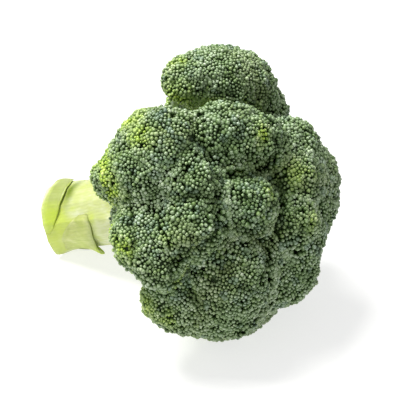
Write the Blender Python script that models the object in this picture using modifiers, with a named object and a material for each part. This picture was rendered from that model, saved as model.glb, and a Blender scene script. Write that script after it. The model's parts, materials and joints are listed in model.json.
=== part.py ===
"""A head of broccoli lying on its side, as a Blender model in metres with +Z up.

The plant is described about its own stalk: the centre of the cut end is the origin, heights run up the
stalk to the crown, and bearings turn about it, 0 being the side that faces the floor. An empty, plant,
then leans the whole head over until it rests on the cut end and on two of its rim florets.
"""

import math

import bmesh
import bpy
from mathutils import Matrix, Vector

MM = 0.001
UP = Vector((0, 0, 1))

# How the head lies
LEAN = math.radians(24.4)  # the stalk's rise above the floor, from the cut end to the crown

# The stalk
STALK_RADIUS = 18.6 * MM
STALK_TOP = 112 * MM
STALK_SIDES = 32
CUT_SLANT = math.radians(13)  # the knife's slant from square across the stalk
CUT_BEARING = math.radians(50)  # the side on which the slant leaves the stalk longest

# Pieces that grow from one another keep this much between them, as solids
GAP = 0.3 * MM

# Each floret: the height at which its branch leaves the stalk, the branch's radius at that foot, and its
# lobes of buds. A lobe is a bearing in degrees, then its distance from the axis, its height and its radius in
# millimetres. The branch runs to the first lobe, and its foot is on that lobe's side of the stalk.
FLORETS = {
    "rim_floret_1": (62, 7.0, [(157, 57, 126, 20.5), (182, 62, 126, 10.5), (144, 57, 130, 19), (162, 46, 112, 15)]),
    "rim_floret_2": (60, 7.0, [(232, 54, 125, 22), (222, 54, 136, 18), (238, 62, 109, 10), (244, 46, 151, 11.5)]),
    "rim_floret_3": (78, 5.5, [(267, 60, 123, 16), (262, 46, 110, 16), (280, 65, 131, 10.5), (268, 48, 145, 15.5)]),
    "rim_floret_4": (60, 7.0, [(323, 51, 132, 22.5), (307, 56, 120, 19.5), (340, 52, 114, 20.7)]),
    "rim_floret_5": (78, 5.5, [(2, 50, 119, 18), (1, 42, 145, 19.5), (9, 30, 159, 11)]),
    "rim_floret_6": (60, 6.0, [(28, 54, 118, 23.4)]),
    "rim_floret_7": (77, 5.5, [(58, 50, 116, 22), (66, 34, 146, 21.5), (85, 37, 155, 12)]),
    "rim_floret_8": (59, 6.0, [(88, 51, 118, 21)]),
    "rim_floret_9": (76, 5.0, [(118, 49, 118, 18)]),
    "inner_floret_1": (82, 4.0, [(200, 37, 150, 17)]),
    "inner_floret_2": (98, 3.0, [(175, 25, 155, 15.5)]),
    "inner_floret_3": (88, 4.5, [(115, 29, 153, 16.5)]),
    "inner_floret_4": (86, 4.5, [(320, 30, 144, 16), (310, 44, 144, 19)]),
    "inner_floret_5": (94, 4.0, [(260, 22, 147, 17), (268, 21, 159, 13.3)]),
    "inner_floret_6": (97, 3.5, [(357, 17, 161, 11.7), (40, 28, 154, 15)]),
    "inner_floret_7": (96, 3.5, [(60, 14, 148, 17), (85, 14, 161, 11.8)]),
}
FOOT_RING = 10 * MM  # how far off the stalk's axis the branches start, inside the stalk
BRANCH_SPREAD = 1.5  # a branch's radius at its floret, as a share of the radius at its foot
BRANCH_SIDES = 12

# Each stub of a trimmed leaf: the middle of its base as a bearing in degrees, its half width as an angle in
# degrees, the heights of its base and of its knife-cut top, and how far that top stands off the stalk, in
# millimetres.
LEAF_STUBS = {
    "leaf_stub_1": (216, 54, -8, 23, 6.0),
    "leaf_stub_2": (298, 42, 13, 43, 5.0),
    "leaf_stub_3": (92, 44, 6, 36, 5.0),
}

# Colours, as linear red, green and blue
STALK_GREEN = (0.62, 0.74, 0.28)
LEAF_GREEN = (0.50, 0.65, 0.20)
BUD_GREEN = (0.10, 0.16, 0.07)


def clear_scene():
    for thing in list(bpy.data.objects):
        bpy.data.objects.remove(thing, do_unlink=True)


def new_collection(name):
    collection = bpy.data.collections.new(name)
    bpy.context.scene.collection.children.link(collection)
    return collection


def make_material(name, colour, roughness):
    material = bpy.data.materials.new(name)
    material.use_nodes = True
    shader = material.node_tree.nodes["Principled BSDF"]
    shader.inputs["Base Color"].default_value = (*colour, 1)
    shader.inputs["Roughness"].default_value = roughness
    shader.inputs["Metallic"].default_value = 0
    return material


def place(bearing, ring, height):
    """The point at a bearing in radians, a distance from the stalk's axis and a height along it."""
    return Vector((ring * math.cos(bearing), ring * math.sin(bearing), height))


def add_object(name, mesh, collection, parent=None, location=(0, 0, 0)):
    piece = bpy.data.objects.new(name, mesh)
    collection.objects.link(piece)
    piece.parent = parent
    piece.location = location
    return piece


def add_cutter(name, mesh, cutters, parent, location=(0, 0, 0)):
    cutter = add_object(name, mesh, cutters, parent, location)
    cutter.hide_render = True
    cutter.display_type = "WIRE"
    return cutter


def add_boolean(piece, operation, cutter):
    boolean = piece.modifiers.new(f"{operation.lower()} {cutter.name}", "BOOLEAN")
    boolean.operation = operation
    boolean.object = cutter
    boolean.solver = "EXACT"


def to_mesh(name, bm):
    mesh = bpy.data.meshes.new(name)
    bm.to_mesh(mesh)
    bm.free()
    mesh.shade_smooth()
    mesh.set_sharp_from_angle(angle=math.radians(40))
    return mesh


def cone_between(foot, end, foot_radius, end_radius, sides):
    """A capped cone, as a bmesh, whose axis runs from foot to end."""
    run = end - foot
    middle = Matrix.Translation((foot + end) / 2) @ run.to_track_quat("Z", "Y").to_matrix().to_4x4()
    bm = bmesh.new()
    bmesh.ops.create_cone(
        bm, cap_ends=True, segments=sides, radius1=foot_radius, radius2=end_radius, depth=run.length, matrix=middle
    )
    return bm


# The stalk: a stout, slightly tapering stem, domed inside the crown and cut across by a knife

def stalk_profile(extra):
    """Radius and height down the stalk's outer side, from its domed top; extra widens it all round. Under the
    crown the stalk swells where its branches leave it."""
    full = STALK_RADIUS + extra
    tip = STALK_TOP + extra
    dome = [(0, 1.00), (0.34, 0.985), (0.66, 0.94), (0.98, 0.87)]
    swelling = [(1.16, 0.80), (1.18, 0.73), (1.10, 0.65), (1.00, 0.57)]
    shaft = [(0.95, 0.48), (0.94, 0.34), (1.00, 0.10), (1.00, -0.10), (0, -0.10)]
    return [(share * full, rise * tip) for share, rise in dome + swelling + shaft]


def turned_mesh(name, profile):
    mesh = bpy.data.meshes.new(name)
    points = [(radius, 0, height) for radius, height in profile]
    mesh.from_pydata(points, [(i, i + 1) for i in range(len(points) - 1)], [])
    return mesh


def add_screw(piece, sides):
    screw = piece.modifiers.new("turn", "SCREW")
    screw.steps = sides
    screw.render_steps = sides
    screw.use_merge_vertices = True
    screw.merge_threshold = 0.05 * MM


def make_knife(cutters, plant):
    """The half of space that the knife took off, as a block under the slanted cut."""
    size = 8 * STALK_RADIUS
    bm = bmesh.new()
    bmesh.ops.create_cube(bm, size=size, matrix=Matrix.Translation((0, 0, -size / 2)))
    knife = add_cutter("knife", to_mesh("knife", bm), cutters, plant)
    hinge = place(CUT_BEARING + math.pi / 2, 1, 0)
    knife.rotation_mode = "QUATERNION"
    knife.rotation_quaternion = Matrix.Rotation(CUT_SLANT, 4, hinge).to_quaternion()
    return knife


def make_stalk(parts, plant, material, knife):
    mesh = turned_mesh("main_stalk", stalk_profile(0))
    mesh.materials.append(material)
    stalk = add_object("main_stalk", mesh, parts, plant)
    add_screw(stalk, STALK_SIDES)
    add_boolean(stalk, "DIFFERENCE", knife)


def make_stalk_clearance(cutters, plant):
    """The stalk a gap larger all round, which keeps florets and leaf stubs off it."""
    clearance = add_cutter("stalk_clearance", turned_mesh("stalk_clearance", stalk_profile(GAP)), cutters, plant)
    add_screw(clearance, STALK_SIDES)
    return clearance


# The leaf stubs: tongues of leaf stalk that hug the stem, thicker upward, where a knife trimmed them off

def make_leaf_stub(name, stub, parts, cutters, plant, material, knife, clearance):
    bearing, half_width, base, top, stand_off = stub
    bearing = math.radians(bearing)
    foot = Vector((0, 0, base * MM))
    end = Vector((0, 0, top * MM))
    bm = cone_between(foot, end, STALK_RADIUS + 1.0 * MM, STALK_RADIUS + stand_off * MM, STALK_SIDES)
    mesh = to_mesh(name, bm)
    mesh.materials.append(material)
    piece = add_object(name, mesh, parts, plant)

    # The tongue's outline is half an oval, seen square on: widest at the base and rounded at the top
    half = STALK_RADIUS * math.sin(math.radians(half_width))
    reach = 3 * STALK_RADIUS
    outline = bmesh.new()
    bmesh.ops.create_cone(outline, cap_ends=True, segments=28, radius1=half, radius2=half, depth=reach)
    bmesh.ops.scale(outline, vec=(1, (top - base) * MM / half, 1), verts=outline.verts)
    bmesh.ops.translate(outline, vec=(0, 0, reach / 2), verts=outline.verts)
    punch = add_cutter(f"{name}_outline", to_mesh(f"{name}_outline", outline), cutters, plant, foot)
    punch.rotation_euler = (math.pi / 2, 0, bearing + math.pi / 2)

    add_boolean(piece, "INTERSECT", punch)
    add_boolean(piece, "DIFFERENCE", clearance)
    add_boolean(piece, "DIFFERENCE", knife)


# The florets: lobes of buds, which press flat against their neighbours, each carried by its own branch

class Lobe:
    def __init__(self, bearing, ring, height, radius):
        self.centre = place(math.radians(bearing), ring * MM, height * MM)
        self.radius = radius * MM


class Floret:
    def __init__(self, name, foot_height, foot_radius, lobes):
        self.name = name
        self.lobes = [Lobe(*lobe) for lobe in lobes]
        self.foot = place(math.radians(lobes[0][0]), FOOT_RING, foot_height * MM)
        self.foot_radius = foot_radius * MM
        self.end = self.lobes[0].centre
        self.end_radius = BRANCH_SPREAD * self.foot_radius

    def branch(self, extra=0):
        return cone_between(
            self.foot, self.end, self.foot_radius + extra, self.end_radius + extra, BRANCH_SIDES
        )

    def branch_passes(self, lobe):
        """Whether this floret's branch comes within a gap of a lobe of another floret."""
        run = self.end - self.foot
        share = min(1, max(0, (lobe.centre - self.foot).dot(run) / run.length_squared))
        nearest = self.foot + share * run
        radius = self.foot_radius + share * (self.end_radius - self.foot_radius)
        return (lobe.centre - nearest).length < lobe.radius + radius + 2 * GAP


def clipped_lobe(lobe, strangers):
    """A lobe's ball, cut flat where it meets another floret's lobe: on the plane through the circle that
    the two balls share, less half the gap."""
    sides = 20 if lobe.radius > 14 * MM else 16
    bm = bmesh.new()
    bmesh.ops.create_uvsphere(bm, u_segments=sides, v_segments=sides // 2 + 1, radius=lobe.radius)
    bmesh.ops.translate(bm, vec=lobe.centre, verts=bm.verts)
    for other in strangers:
        across = other.centre - lobe.centre
        apart = across.length
        if apart > lobe.radius + other.radius:
            continue
        share = (apart**2 + lobe.radius**2 - other.radius**2) / (2 * apart) - GAP / 2
        side = across.normalized()
        if share > lobe.radius:
            continue
        every_part = list(bm.verts) + list(bm.edges) + list(bm.faces)
        cut = bmesh.ops.bisect_plane(
            bm, geom=every_part, dist=0.01 * MM, plane_co=lobe.centre + share * side, plane_no=side, clear_outer=True
        )
        rim = [part for part in cut["geom_cut"] if isinstance(part, bmesh.types.BMEdge)]
        bmesh.ops.contextual_create(bm, geom=rim)
    bmesh.ops.recalc_face_normals(bm, faces=bm.faces)
    return bm


def make_floret(floret, others, parts, cutters, plant, material, clearance):
    strangers = [lobe for other in others for lobe in other.lobes]
    home = floret.foot

    def own(bm, name):
        bmesh.ops.translate(bm, vec=-home, verts=bm.verts)
        return to_mesh(name, bm)

    mesh = own(clipped_lobe(floret.lobes[0], strangers), floret.name)
    mesh.materials.append(material)
    piece = add_object(floret.name, mesh, parts, plant, home)
    for number, lobe in enumerate(floret.lobes[1:], 2):
        name = f"{floret.name}_lobe_{number}"
        add_boolean(piece, "UNION", add_cutter(name, own(clipped_lobe(lobe, strangers), name), cutters, plant, home))
    for other in others:
        if any(other.branch_passes(lobe) for lobe in floret.lobes):
            name = f"{floret.name}_clears_{other.name}"
            cutter = add_cutter(name, own(other.branch(GAP), name), cutters, plant, home)
            add_boolean(piece, "DIFFERENCE", cutter)
    name = f"{floret.name}_branch"
    add_boolean(piece, "UNION", add_cutter(name, own(floret.branch(), name), cutters, plant, home))
    add_boolean(piece, "DIFFERENCE", clearance)


def lay_down(plant, parts):
    """Leans the plant over with bearing 0 downward, then moves it so that the head stands on the floor with
    the middle of its box over the origin."""
    floorward = Vector((math.sin(LEAN), 0, -math.cos(LEAN)))
    crownward = Vector((math.cos(LEAN), 0, math.sin(LEAN)))
    sideward = crownward.cross(floorward)
    plant.rotation_mode = "QUATERNION"
    plant.rotation_quaternion = Matrix((floorward, sideward, crownward)).transposed().to_quaternion()
    bpy.context.view_layer.update()
    graph = bpy.context.evaluated_depsgraph_get()
    corners = []
    for piece in parts.objects:
        shape = piece.evaluated_get(graph)
        corners += [shape.matrix_world @ vertex.co for vertex in shape.data.vertices]
    low = Vector([min(corner[axis] for corner in corners) for axis in range(3)])
    high = Vector([max(corner[axis] for corner in corners) for axis in range(3)])
    plant.location = -Vector(((low.x + high.x) / 2, (low.y + high.y) / 2, low.z))


def build():
    clear_scene()
    parts = new_collection("broccoli_head")
    cutters = new_collection("cutters")
    plant = bpy.data.objects.new("plant", None)
    bpy.context.scene.collection.objects.link(plant)
    stalk_material = make_material("stalk_flesh", STALK_GREEN, 0.45)
    leaf_material = make_material("leaf_stub_flesh", LEAF_GREEN, 0.45)
    bud_material = make_material("buds", BUD_GREEN, 0.7)

    knife = make_knife(cutters, plant)
    clearance = make_stalk_clearance(cutters, plant)
    make_stalk(parts, plant, stalk_material, knife)
    for name, stub in LEAF_STUBS.items():
        make_leaf_stub(name, stub, parts, cutters, plant, leaf_material, knife, clearance)
    florets = [Floret(name, *values) for name, values in FLORETS.items()]
    for floret in florets:
        others = [other for other in florets if other is not floret]
        make_floret(floret, others, parts, cutters, plant, bud_material, clearance)
    lay_down(plant, parts)


build()
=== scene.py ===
"""A head of broccoli, cut and laid on its side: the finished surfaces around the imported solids.

Every shape is worked out in the plant's own frame and in millimetres: the middle of the cut end is the
origin, heights run up the stalk to the crown, and bearings turn about the stalk, 0 being the side towards
the floor. Only to_row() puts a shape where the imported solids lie, in metres.
"""
import json
import math

import bpy
import numpy as np
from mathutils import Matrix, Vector


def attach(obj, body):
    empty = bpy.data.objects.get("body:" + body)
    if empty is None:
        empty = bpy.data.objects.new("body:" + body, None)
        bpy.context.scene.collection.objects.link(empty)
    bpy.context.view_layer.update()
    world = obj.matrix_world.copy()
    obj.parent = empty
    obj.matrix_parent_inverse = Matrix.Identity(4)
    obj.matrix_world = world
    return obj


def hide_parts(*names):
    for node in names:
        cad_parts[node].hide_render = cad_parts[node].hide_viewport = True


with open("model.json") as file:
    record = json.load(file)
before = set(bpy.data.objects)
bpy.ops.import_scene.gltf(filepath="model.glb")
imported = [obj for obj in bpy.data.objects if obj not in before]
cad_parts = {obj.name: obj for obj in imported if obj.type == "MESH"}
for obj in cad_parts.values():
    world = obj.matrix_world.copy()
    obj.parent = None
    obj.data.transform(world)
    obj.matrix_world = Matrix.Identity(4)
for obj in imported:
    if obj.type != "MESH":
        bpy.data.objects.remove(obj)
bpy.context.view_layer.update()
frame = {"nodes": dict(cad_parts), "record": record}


# ---------------------------------------------------------------------------------------------------------
# How the head lies. The stalk's axis runs from the cut end's middle, which the record's mount gives, to the
# tip of the solid stalk, the point of it that is furthest from the cut.

MM = 0.001
mount = frame["record"]["mounts"][0]
cut_centre = np.array(mount["pos_m"])
stalk_solid = np.array([vertex.co for vertex in frame["nodes"]["main_stalk"].data.vertices])
stalk_reach = np.linalg.norm(stalk_solid - cut_centre, axis=1)
STALK_TOP = stalk_reach.max() / MM
crownward = (stalk_solid[stalk_reach.argmax()] - cut_centre) / stalk_reach.max()
floorward = np.array((crownward[2], 0.0, -crownward[0]))
sideward = np.cross(crownward, floorward)
plant_axes = np.stack((floorward, sideward, crownward))
cut_normal = plant_axes @ np.array(mount["axis"])


def unit(vectors):
    """Each vector over its own length."""
    return vectors / np.maximum(np.linalg.norm(vectors, axis=-1, keepdims=True), 1e-9)


def to_row(points):
    """Plant millimetres to row metres: the cut's middle plus each part of the point along its own axis. What
    the head's weight would push through the floor is pressed flat on it."""
    row = cut_centre + MM * points @ plant_axes
    row[..., 2] = np.maximum(row[..., 2], 0.0)
    return row


def place(bearing, ring, height):
    """Points at bearings in degrees, distances from the axis and heights along it."""
    bearing, ring, height = np.broadcast_arrays(np.radians(bearing), ring, height)
    return np.stack((ring * np.cos(bearing), ring * np.sin(bearing), height), axis=-1)


# ---------------------------------------------------------------------------------------------------------
# The stalk: one stout stem of pale flesh, planed in flat strips where the cook's knife ran down it, ribbed
# under its skin, sawn across at a slant, and swollen where the branches leave it.

STALK_RADIUS = 18.6
STALK_SIDES = 240
STALK_HEIGHTS = np.array((0, 11, 25, 38, 54, 64, 73, 82, 90, 97, 105, 110)) / 112 * STALK_TOP
STALK_GIRTHS = (1.0, 1.0, 0.965, 0.94, 0.95, 1.0, 1.08, 1.15, 1.12, 0.96, 0.62, 0.3)
PLANED_STRIPS = (  # bearing, distance from the axis at the cut, and what it gains in 100 mm of height
    (248, 18.0, -0.5), (276, 17.7, 0.5), (218, 17.9, 1.5), (190, 18.7, 1.5), (306, 18.1, -0.5),
    (20, 17.8, 0.0), (58, 18.1, 1.0), (95, 17.7, -0.5), (128, 18.8, 1.5), (160, 19.7, 0.5), (340, 17.9, 1.5),
)
FLARE_BEARING, FLARE_WIDTH, FLARE_HEIGHT, FLARE_REACH = 326, 26, 15, 3.4  # the torn corner at the cut
STRIP_EASE = 0.12  # how softly one planed strip runs into the next, in mm
# Patches of greener skin, and shaded ones: bearing, height, half width in degrees, half height, strength
GREEN_PATCHES = (
    (246, 20.5, 18, 3.5, 0.6), (262, 44, 12, 2.6, 0.6), (298, 41, 20, 3.0, 0.5),
    (268, 14, 24, 8.0, 0.85), (268, 29, 11, 9.0, 0.85), (300, 5, 34, 9.0, 0.7), (240, 29, 5, 4.0, 0.45),
    (92, 38, 34, 3.0, 0.6),
    (20, 8, 30, 9.0, 0.4), (140, 6, 22, 8.0, 0.35),
)
CREVICE_SHADES = (
    (203, 24.0, 30, 4.0, 1.0), (284, 40, 18, 2.2, 0.6), (318, 35, 14, 2.4, 0.5), (92, 37, 34, 2.5, 0.8),
)
GIRTH_GAIN = 1.0  # how much fuller the skin is than the stalk's girth curve, in mm


def cut_height(points):
    """The height of the knife's slanted cut under each point, from the plane through the cut's middle."""
    return -(points[..., 0] * cut_normal[0] + points[..., 1] * cut_normal[1]) / cut_normal[2]


def smooth_step(low, high, values):
    """0 below low, 1 above high, and between them three times the square less twice the cube."""
    share = np.clip((values - low) / (high - low), 0, 1)
    return share * share * (3 - 2 * share)


def planed(bearing, height, radius):
    """The radius, no further out than the flat strips: a strip's plane lies at its distance over the cosine
    of the turn from its own bearing. The edges between strips are eased by a soft least value."""
    reach = [radius]
    for middle, distance, gain in PLANED_STRIPS:
        turn = np.cos(np.radians(bearing - middle))
        reach.append(np.where(turn > 0.5, (distance + gain * height / 100) / np.maximum(turn, 0.5), 99))
    return -STRIP_EASE * np.log(sum(np.exp(-np.minimum(r, 40) / STRIP_EASE) for r in reach))


def stalk_radius(bearing, height):
    """Radius at a bearing and a height: the girth curve, planed flat low down, plus slow waves round the stem
    for its ribs, which turn a little as they climb, a fine one for the fibres, and the torn corner."""
    girth = GIRTH_GAIN + STALK_RADIUS * np.interp(height, STALK_HEIGHTS, STALK_GIRTHS)
    turn = np.radians(bearing) + 0.004 * height
    flat = planed(bearing, height, girth)
    kept = smooth_step(58, 74, height)
    radius = flat * (1 - kept) + girth * kept
    ribs = 0.30 * np.sin(5 * turn + 0.8) + 0.22 * np.sin(8 * turn + 2.1 + 0.05 * height)
    swell = 0.9 * smooth_step(45, 80, height) * np.sin(9 * turn + 0.4)
    fibres = 0.05 * np.sin(61 * turn + 1.6 * np.sin(0.14 * height)) + 0.04 * np.sin(0.9 * height + 3 * turn)
    off = (bearing - FLARE_BEARING + 180) % 360 - 180
    flare = FLARE_REACH * np.exp(-((off / FLARE_WIDTH) ** 2)) * smooth_step(FLARE_HEIGHT, 0, height)
    return radius + (0.35 + 0.65 * kept) * ribs + swell + fibres + flare


def closed_faces(rings, sides):
    """Faces of a surface of rings of points between two poles, numbered pole, rings, pole: quads from ring to
    ring and a fan at each pole."""
    ring = np.arange(rings - 1)[:, None] * sides + 1
    side = np.arange(sides)[None, :]
    after = (side + 1) % sides
    quads = np.stack((ring + side, ring + after, ring + sides + after, ring + sides + side), axis=-1)
    last = 1 + (rings - 1) * sides
    low = np.stack((0 * side, 1 + after, 1 + side), axis=-1)
    high = np.stack((0 * side + last + sides, last + side, last + after), axis=-1)
    return quads.reshape(-1, 4), np.concatenate((low, high)).reshape(-1, 3)


def make_piece(name, points, quads, triangles, material, slot, looks=None):
    """A smooth-shaded mesh from arrays of plant points and faces, riding on the head. looks is an array of
    four numbers a point, which the materials read as the attribute called look."""
    mesh = bpy.data.meshes.new(name)
    mesh.vertices.add(len(points))
    mesh.vertices.foreach_set("co", to_row(points).astype(np.float32).ravel())
    corners = np.concatenate((quads.ravel(), triangles.ravel())).astype(np.int32)
    sizes = np.concatenate((np.full(len(quads), 4), np.full(len(triangles), 3)))
    mesh.loops.add(len(corners))
    mesh.loops.foreach_set("vertex_index", corners)
    mesh.polygons.add(len(sizes))
    mesh.polygons.foreach_set("loop_start", (np.cumsum(sizes) - sizes).astype(np.int32))
    mesh.update(calc_edges=True)
    mesh.shade_smooth()
    if looks is not None:
        attribute = mesh.attributes.new("look", "FLOAT_COLOR", "POINT")
        attribute.data.foreach_set("color", looks.astype(np.float32).ravel())
    mesh.materials.append(material)
    piece = bpy.data.objects.new(name, mesh)
    bpy.context.scene.collection.objects.link(piece)
    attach(piece, "root")
    return piece


class Finish:
    """A material's node tree with short ways to add nodes to it and link them."""

    def __init__(self, name):
        self.material = bpy.data.materials.new(name)
        self.material.use_nodes = True
        self.tree = self.material.node_tree
        self.shader = self.tree.nodes["Principled BSDF"]

    def node(self, kind, **settings):
        made = self.tree.nodes.new(kind)
        for setting, value in settings.items():
            setattr(made, setting, value)
        return made

    def link(self, source, target):
        self.tree.links.new(source, target)

    def place(self, scale, turned=False):
        """Object coordinates, stretched by scale and, if turned, with z laid along the stalk."""
        mapping = self.node("ShaderNodeMapping", vector_type="POINT")
        mapping.inputs["Scale"].default_value = scale
        if turned:
            turn = self.node("ShaderNodeMapping", vector_type="POINT")
            lean = math.atan2(crownward[0], crownward[2])
            turn.inputs["Rotation"].default_value = (0, -lean, 0)
            self.link(self.node("ShaderNodeTexCoord").outputs["Object"], turn.inputs["Vector"])
            self.link(turn.outputs["Vector"], mapping.inputs["Vector"])
        else:
            self.link(self.node("ShaderNodeTexCoord").outputs["Object"], mapping.inputs["Vector"])
        return mapping.outputs["Vector"]

    def noise(self, vector, scale, detail=3.0, roughness=0.5):
        made = self.node("ShaderNodeTexNoise")
        made.inputs["Scale"].default_value = scale
        made.inputs["Detail"].default_value = detail
        made.inputs["Roughness"].default_value = roughness
        self.link(vector, made.inputs["Vector"])
        return made.outputs["Fac"]

    def ramp(self, value, stops, smooth=False):
        made = self.node("ShaderNodeValToRGB")
        made.color_ramp.interpolation = "EASE" if smooth else "LINEAR"
        for number, (position, colour) in enumerate(stops):
            elements = made.color_ramp.elements
            stop = elements[number] if number < 2 else elements.new(position)
            stop.position = position
            stop.color = (*colour, 1)
        self.link(value, made.inputs["Fac"])
        return made.outputs["Color"]

    def greys(self, value, low, high):
        """A ramp of greys, whose two stops are each a place and a brightness."""
        return self.ramp(value, ((low[0], (low[1],) * 3), (high[0], (high[1],) * 3)))

    def mix(self, share, first, second, blend="MIX"):
        """Two colours mixed by share, which is a number or an output, as each colour is too."""
        made = self.node("ShaderNodeMix", data_type="RGBA", blend_type=blend)
        for socket, value in ((made.inputs[0], share), (made.inputs[6], first), (made.inputs[7], second)):
            if isinstance(value, bpy.types.NodeSocket):
                self.link(value, socket)
            elif isinstance(value, tuple):
                socket.default_value = (*value, 1)
            else:
                socket.default_value = value
        return made.outputs[2]

    def maths(self, operation, first, second):
        made = self.node("ShaderNodeMath", operation=operation)
        for socket, value in zip(made.inputs, (first, second)):
            if isinstance(value, bpy.types.NodeSocket):
                self.link(value, socket)
            else:
                socket.default_value = value
        return made.outputs[0]

    def looks(self):
        """The four numbers of the attribute look: three as a separated colour, and the fourth."""
        attribute = self.node("ShaderNodeAttribute", attribute_name="look")
        split = self.node("ShaderNodeSeparateColor")
        self.link(attribute.outputs["Color"], split.inputs["Color"])
        return split.outputs[0], split.outputs[1], split.outputs[2], attribute.outputs["Alpha"]

    def surface(self, colour, roughness):
        """The colour and the roughness, linked to the shader."""
        self.link(colour, self.shader.inputs["Base Color"])
        self.link(roughness, self.shader.inputs["Roughness"])

    def glow(self, scale):
        """Light that enters waxy flesh and comes out a few millimetres off."""
        self.shader.inputs["Subsurface Weight"].default_value = 0.25
        self.shader.inputs["Subsurface Radius"].default_value = (0.004, 0.005, 0.0015)
        self.shader.inputs["Subsurface Scale"].default_value = scale

    def bump(self, height, strength, distance):
        made = self.node("ShaderNodeBump")
        made.inputs["Strength"].default_value = strength
        made.inputs["Distance"].default_value = distance
        self.link(height, made.inputs["Height"])
        self.link(made.outputs["Normal"], self.shader.inputs["Normal"])


def srgb(red, green, blue):
    """A colour given as a paint chart gives it, 0 to 255, as linear light."""
    parts = [part / 255 for part in (red, green, blue)]
    return tuple(part / 12.92 if part < 11 / 255 else ((part + 0.055) / 1.055) ** 2.4 for part in parts)


def stalk_finish():
    """Waxy pale skin with fibres along the stem, and pith with a darker ring on the cut. The looks are how
    far a point is across the cut, 0 to 1, whether it is skin, how much it is shaded, and how much greener."""
    finish = Finish("stalk_flesh")
    across, skin, shaded, blush = finish.looks()
    cloudy = finish.noise(finish.place((1, 1, 0.5), turned=True), 95, 3.0, 0.55)
    fibre = finish.noise(finish.place((1, 1, 0.16), turned=True), 900, 4.0, 0.6)
    strand = finish.noise(finish.place((1, 1, 1)), 1500, 2.0, 0.6)
    clouds = (
        (0.30, srgb(168, 178, 94)), (0.45, srgb(180, 188, 122)),
        (0.58, srgb(191, 197, 150)), (0.72, srgb(200, 204, 174)),
    )
    rings = (
        (0.0, srgb(231, 236, 190)), (0.60, srgb(222, 230, 172)), (0.72, srgb(188, 204, 120)),
        (0.80, srgb(214, 224, 156)), (0.93, srgb(205, 219, 136)), (0.985, srgb(164, 186, 84)),
    )
    body = finish.ramp(cloudy, clouds, smooth=True)
    body = finish.mix(finish.greys(fibre, (0.42, 0), (0.68, 0.28)), body, srgb(162, 175, 92))
    body = finish.mix(blush, body, srgb(180, 198, 46))
    body = finish.mix(shaded, body, srgb(100, 118, 18))
    pith = finish.ramp(across, rings)
    pith = finish.mix(finish.greys(strand, (0.5, 0), (0.75, 0.5)), pith, srgb(170, 178, 110))
    finish.surface(finish.mix(skin, pith, body), finish.greys(fibre, (0.3, 0.34), (0.7, 0.52)))
    finish.glow(0.6)
    finish.bump(fibre, 0.25, 0.0006)
    return finish.material


def make_stalk(material):
    """From the cut's middle out to its rim, up the skin and over the dome inside the crown. The cut face dips
    a little, and saw lines ripple it; the skin's heights lean with the cut and are level by 30 mm."""
    bearing = np.arange(STALK_SIDES) * 360 / STALK_SIDES
    face = np.concatenate((np.linspace(0.06, 0.94, 18), (0.975, 0.995)))
    heights = np.concatenate(((0.15, 0.6), np.linspace(1.2, 92, 110), np.linspace(93, STALK_TOP - 2.5, 10)))
    face_bearing, face_share = np.meshgrid(bearing, face)
    rim = stalk_radius(face_bearing, 0 * face_bearing)
    face_points = place(face_bearing, rim * face_share, 0 * face_bearing)
    saw_lines = 0.12 * np.sin(0.9 * face_points[..., 0] + 0.3 * face_points[..., 1])
    hollow = 0.9 * (1 - face_share**2) + saw_lines
    face_points[..., 2] = cut_height(face_points) + hollow * smooth_step(1.0, 0.9, face_share)
    side_bearing, side_height = np.meshgrid(bearing, heights)
    eased = 0.35 * (1 - smooth_step(0, 1.2, side_height))
    side_points = place(side_bearing, stalk_radius(side_bearing, side_height) - eased, side_height)
    side_points[..., 2] += cut_height(side_points) * (1 - smooth_step(0, 30, side_height))
    rings = np.concatenate((face_points, side_points))
    low = face_points[0].mean(0)
    points = np.concatenate((low[None], rings.reshape(-1, 3), [(0.0, 0.0, STALK_TOP - 1.5)]))
    looks = np.ones((len(points), 4))
    looks[0, :2] = 0
    looks[1 : 1 + face_share.size, 0] = face_share.ravel()
    looks[1 : 1 + face_share.size, 1] = 0
    around = np.degrees(np.arctan2(points[:, 1], points[:, 0]))
    for channel, patches in ((2, CREVICE_SHADES), (3, GREEN_PATCHES)):
        plain = 1.0
        for bearing, height, half_width, half_height, strength in patches:
            off = (around - bearing + 180) % 360 - 180
            patch = np.exp(-((off / half_width) ** 2) - ((points[:, 2] - height) / half_height) ** 2)
            plain = plain * (1 - strength * patch)
        looks[:, channel] = 1 - plain
    faces = closed_faces(len(rings), STALK_SIDES)
    stalk = make_piece("stalk", points, *faces, material, "stalk_flesh", looks)
    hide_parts("main_stalk")


make_stalk(stalk_finish())


# ---------------------------------------------------------------------------------------------------------
# The leaf stubs: what is left of three leaf stalks, which clasp the stem and were sliced off at a slant. The
# flesh bulges off the stem, the slice runs back up to a thin lip, and the lip stands off with a dark gap.

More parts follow.
